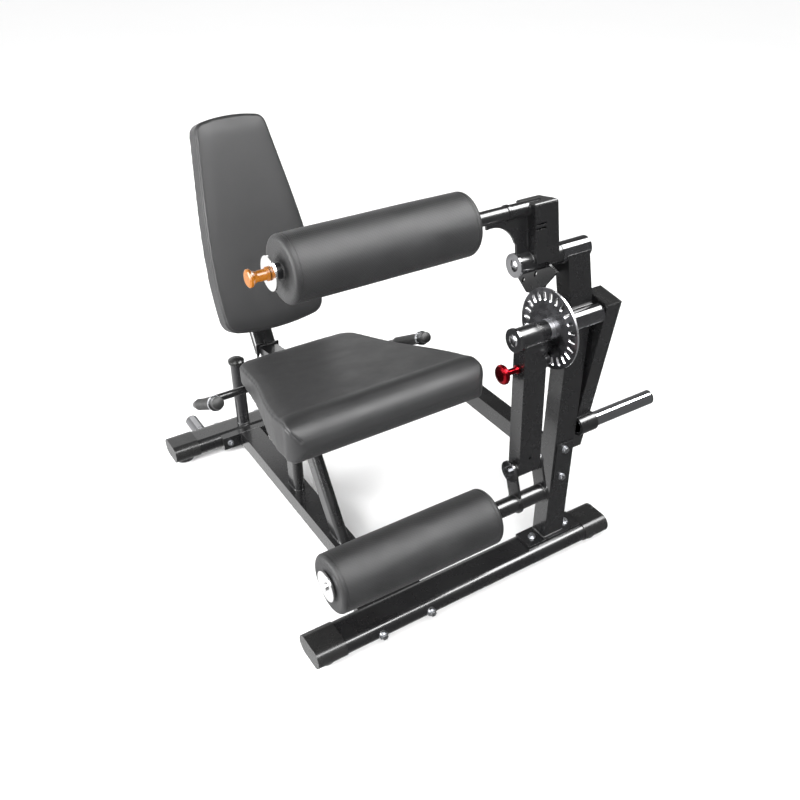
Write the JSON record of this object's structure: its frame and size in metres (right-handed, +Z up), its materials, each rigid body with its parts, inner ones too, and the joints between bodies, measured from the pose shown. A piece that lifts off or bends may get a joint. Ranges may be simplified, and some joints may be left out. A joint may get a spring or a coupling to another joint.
{
  "type": "leg extension machine",
  "caption": "Plate-loaded leg extension machine with a padded seat and back, an indexed swing arm with ankle roller, and a thigh hold-down roller.",
  "frame": {"origin": "bottom centre of the machine's overall box, on the floor", "axes": "+X to the side that carries the weight peg, +Y from the rollers towards the back pad, +Z up"},
  "size_m": [1.3609, 1.514, 1.3555],
  "materials": {
    "frame_paint": "satin black powder coat",
    "gloss_black": "gloss black",
    "black_plastic": "moulded black plastic",
    "rubber_black": "black rubber",
    "vinyl": "dark grey vinyl, fine grain",
    "roller_foam": "dark grey foam with a fine diagonal texture",
    "plywood": "black-stained plywood",
    "zinc_steel": "bright zinc plate",
    "chrome": "polished chrome",
    "ground_steel": "ground steel",
    "bronze": "sintered bronze",
    "core_plastic": "black plastic",
    "red_anodised": "dark red anodised",
    "orange_plastic": "orange moulded plastic"
  },
  "bodies": {
    "frame": {"front_beam": "frame_paint", "rear_beam": "frame_paint", "beam_shoes": "black_plastic", "rubber_feet": "rubber_black", "spine_tube": "frame_paint", "spine_saddles": "frame_paint", "frame_bolts": "zinc_steel", "frame_nuts_and_washers": "zinc_steel", "main_upright": "frame_paint", "link_frame": "frame_paint", "link_backing_plate": "frame_paint", "end_plugs": "black_plastic", "seat_strut": "frame_paint", "seat_post": "frame_paint", "seat_rail": "frame_paint", "seat_board": "plywood", "seat_pad": "vinyl", "pad_screws": "zinc_steel", "handle_bar": "frame_paint", "hand_grips": "rubber_black", "grip_end_rings": "chrome", "back_post": "frame_paint", "back_arm": "frame_paint", "back_board": "plywood", "back_pad": "vinyl", "storage_post": "chrome", "storage_post_cap": "black_plastic", "storage_peg": "chrome", "bearing_housing": "gloss_black", "main_bearings": "zinc_steel", "top_pivot_sleeve": "gloss_black", "thigh_lock_plate": "frame_paint", "thigh_pivot_pin": "ground_steel", "thigh_pivot_cap": "black_plastic"},
    "main_lever": {"main_shaft": "ground_steel", "index_disc": "ground_steel", "hub_end_cap": "black_plastic", "weight_arm": "frame_paint", "weight_arm_plugs": "black_plastic", "weight_peg": "chrome"},
    "swing_arm": {"swing_arm": "frame_paint", "swing_bushes": "bronze", "pull_pin_spring": "zinc_steel"},
    "pull_pin": {"pull_pin": "ground_steel", "pull_knob": "red_anodised"},
    "ankle_link": {"ankle_link": "frame_paint", "ankle_pivot_bolt": "chrome", "ankle_pivot_flange": "chrome", "lower_end_disc": "chrome"},
    "lower_roller": {"lower_roller_core": "core_plastic", "lower_roller_pad": "roller_foam"},
    "thigh_arm": {"thigh_arm": "frame_paint", "thigh_arm_cap": "black_plastic", "thigh_bushes": "bronze", "release_spring": "zinc_steel", "upper_end_disc": "chrome"},
    "release_rod": {"release_rod": "ground_steel", "release_knob": "orange_plastic"},
    "upper_roller": {"upper_roller_core": "core_plastic", "upper_roller_pad": "roller_foam"}
  },
  "joints": [
    {"name": "lever_swing", "type": "hinge", "parent": "frame", "child": "main_lever", "pos_m": [0.2715, -0.61302, 0.932], "axis": [-1, 0, 0], "range_deg": [-45, 100]},
    {"name": "start_angle", "type": "hinge", "parent": "main_lever", "child": "swing_arm", "pos_m": [0.2715, -0.61302, 0.932], "axis": [1, 0, 0], "range_deg": [-90, 0]},
    {"name": "pull_pin_slide", "type": "slide", "parent": "swing_arm", "child": "pull_pin", "axis": [-1, 0, 0], "range_m": [0, 0.014], "stiffness_N_per_m": 900, "springref_m": -0.01, "deforming": ["pull_pin_spring"]},
    {"name": "ankle_swing", "type": "hinge", "parent": "swing_arm", "child": "ankle_link", "pos_m": [0.2715, -0.6353, 0.49206], "axis": [-1, 0, 0], "range_deg": [0, 45]},
    {"name": "lower_roller_turn", "type": "hinge", "parent": "ankle_link", "child": "lower_roller", "pos_m": [0.2715, -0.66898, 0.39198], "axis": [1, 0, 0], "continuous": true},
    {"name": "thigh_arm_turn", "type": "hinge", "parent": "frame", "child": "thigh_arm", "pos_m": [0.2715, -0.52602, 1.108], "axis": [-1, 0, 0], "range_deg": [0, 90]},
    {"name": "release_slide", "type": "slide", "parent": "thigh_arm", "child": "release_rod", "axis": [-1, 0, 0], "range_m": [0, 0.014], "stiffness_N_per_m": 900, "springref_m": -0.01, "deforming": ["release_spring"]},
    {"name": "upper_roller_turn", "type": "hinge", "parent": "thigh_arm", "child": "upper_roller", "pos_m": [0.2715, -0.50032, 1.25375], "axis": [1, 0, 0], "continuous": true}
  ]
}
